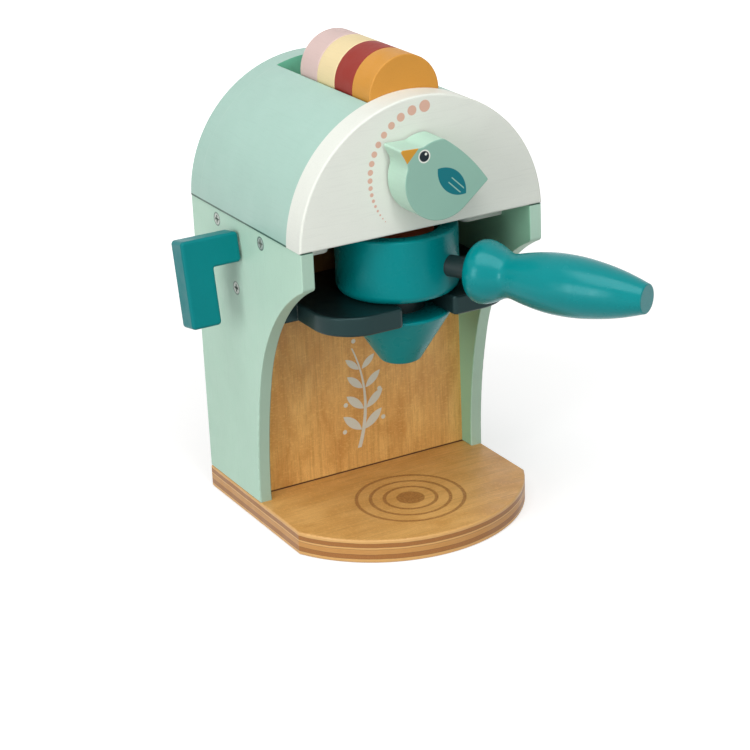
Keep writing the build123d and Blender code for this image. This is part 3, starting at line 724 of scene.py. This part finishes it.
def dress_wood_and_fittings():
    """Lacquered plywood, bare dowels, screws, washers and spacers."""
    dress(base_material(), "base_plate")
    dress(back_material(), "back_panel")
    dress(bare_wood(), "pod_rest", "hopper_dowels", "pod_rest_dowels", "knob_spindle", "lever_spindle",
          "portafilter_core_dowel")
    dress(steel(), "left_side_screws", "right_side_screws", "base_screws", "holder_screws", "hopper_screws",
          "knob_washer", "knob_screw", "lever_washer", "lever_screw")
    dress(felt(), "knob_spacer", "lever_spacer")


# ---------------------------------------------------------------- stage, light and camera, in metres
PAPER_WHITE = (1.0, 1.0, 1.0, 1.0)
AMBIENT = 0.34                 # strength of the world's light on the object
FLOOR_HALF = 4.0
FLOOR_Z = -0.0002
FLOOR_GREY = (0.6, 0.6, 0.595, 1.0)
GLOW_START, GLOW_END = 0.25, 0.9        # distances over which the floor's seen glow rises
NEAR_GLOW, FAR_GLOW = 0.6, 1.0          # that glow's strength

# Name, place, width and height, watts
SOFTBOXES = (
    ("overhead_softbox", (-0.35, -0.45, 1.25), (0.9, 0.9), 9.4),
    ("left_softbox", (-1.3, -0.55, 0.45), (0.5, 0.7), 6.2),
    ("window_softbox", (-0.15, -1.3, 1.1), (0.2, 0.26), 2.5),
    ("front_softbox", (-0.25, -1.7, 0.3), (1.2, 0.8), 2.0),
)
SOFTBOX_TARGET = (0.0, -0.03, 0.14)

CAMERA_PLACE = (-0.6147, -1.1332, 0.5976)
CAMERA_YAW = 28.585            # degrees to the left of straight ahead
CAMERA_PITCH = 21.8            # degrees down
CAMERA_ROLL = -2.526
LENS_MM = 107.09
SENSOR_MM = 36.0


def seen_directly(tree):
    """1 for the rays that show the background: camera, glossy and transmission rays."""
    path = tree.nodes.new("ShaderNodeLightPath")
    total = path.outputs["Is Camera Ray"]
    for name in ("Is Glossy Ray", "Is Transmission Ray"):
        add = tree.nodes.new("ShaderNodeMath")
        add.operation = "ADD"
        add.use_clamp = True
        tree.links.new(total, add.inputs[0])
        tree.links.new(path.outputs[name], add.inputs[1])
        total = add.outputs[0]
    return total


def floor_material():
    """Pale paper that turns white away from the object, for the rays that show it."""
    material = bpy.data.materials.new("floor_paper")
    material.use_nodes = True
    tree = material.node_tree
    shader = tree.nodes["Principled BSDF"]
    shader.inputs["Base Color"].default_value = FLOOR_GREY
    shader.inputs["Roughness"].default_value = 0.9
    shader.inputs["Specular IOR Level"].default_value = 0.0
    shader.inputs["Emission Color"].default_value = PAPER_WHITE
    coordinates = tree.nodes.new("ShaderNodeTexCoord")
    reach = tree.nodes.new("ShaderNodeVectorMath")
    reach.operation = "LENGTH"
    tree.links.new(coordinates.outputs["Object"], reach.inputs[0])
    rise = tree.nodes.new("ShaderNodeMapRange")
    for name, number in (("From Min", GLOW_START), ("From Max", GLOW_END),
                         ("To Min", NEAR_GLOW), ("To Max", FAR_GLOW)):
        rise.inputs[name].default_value = number
    tree.links.new(reach.outputs["Value"], rise.inputs["Value"])
    glow = tree.nodes.new("ShaderNodeMath")
    glow.operation = "MULTIPLY"
    tree.links.new(seen_directly(tree), glow.inputs[0])
    tree.links.new(rise.outputs[0], glow.inputs[1])
    tree.links.new(glow.outputs[0], shader.inputs["Emission Strength"])
    return material


def add_floor():
    """A large pale floor just under the base."""
    mesh = bpy.data.meshes.new("floor")
    corners = [(x * FLOOR_HALF, y * FLOOR_HALF, FLOOR_Z) for x, y in ((-1, -1), (1, -1), (1, 1), (-1, 1))]
    mesh.from_pydata(corners, [], [(0, 1, 2, 3)])
    mesh.materials.append(floor_material())
    floor = bpy.data.objects.new("floor", mesh)
    bpy.context.scene.collection.objects.link(floor)


def add_world():
    """Even light from all round, and a white background for the rays that show it."""
    world = bpy.data.worlds.new("studio")
    bpy.context.scene.world = world
    world.use_nodes = True
    tree = world.node_tree
    tree.nodes.clear()
    mix = tree.nodes.new("ShaderNodeMixShader")
    tree.links.new(seen_directly(tree), mix.inputs[0])
    for socket, strength in ((mix.inputs[1], AMBIENT), (mix.inputs[2], 1.0)):
        background = tree.nodes.new("ShaderNodeBackground")
        background.inputs["Color"].default_value = PAPER_WHITE
        background.inputs["Strength"].default_value = strength
        tree.links.new(background.outputs[0], socket)
    output = tree.nodes.new("ShaderNodeOutputWorld")
    tree.links.new(mix.outputs[0], output.inputs[0])


def add_softbox(name, place, size, watts):
    """A rectangular lamp turned to the middle of the object."""
    lamp = bpy.data.lights.new(name, "AREA")
    lamp.shape = "RECTANGLE"
    lamp.size, lamp.size_y = size
    lamp.energy = watts
    box = bpy.data.objects.new(name, lamp)
    box.location = place
    aim = Vector(SOFTBOX_TARGET) - Vector(place)
    box.rotation_euler = aim.to_track_quat("-Z", "Y").to_euler()
    bpy.context.scene.collection.objects.link(box)


def add_camera():
    """The photograph's viewpoint, from the front left and a little above."""
    yaw, pitch, roll = (math.radians(angle) for angle in (CAMERA_YAW, CAMERA_PITCH, CAMERA_ROLL))
    back = Vector((-math.sin(yaw) * math.cos(pitch), -math.cos(yaw) * math.cos(pitch), math.sin(pitch)))
    level = Vector((math.cos(yaw), -math.sin(yaw), 0.0))
    upright = back.cross(level)
    right = level * math.cos(roll) + upright * math.sin(roll)
    up = upright * math.cos(roll) - level * math.sin(roll)
    lens = bpy.data.cameras.new("photo_camera")
    lens.sensor_width = SENSOR_MM
    lens.lens = LENS_MM
    lens.clip_end = 20.0
    camera = bpy.data.objects.new("photo_camera", lens)
    turn = Matrix((right, up, back)).transposed().to_4x4()
    camera.matrix_world = Matrix.Translation(CAMERA_PLACE) @ turn
    bpy.context.scene.collection.objects.link(camera)
    bpy.context.scene.camera = camera


dress_body()
dress_moving_parts()
dress_wood_and_fittings()
add_floor()
add_world()
for softbox in SOFTBOXES:
    add_softbox(*softbox)
add_camera()
bpy.context.scene.view_settings.view_transform = "Standard"
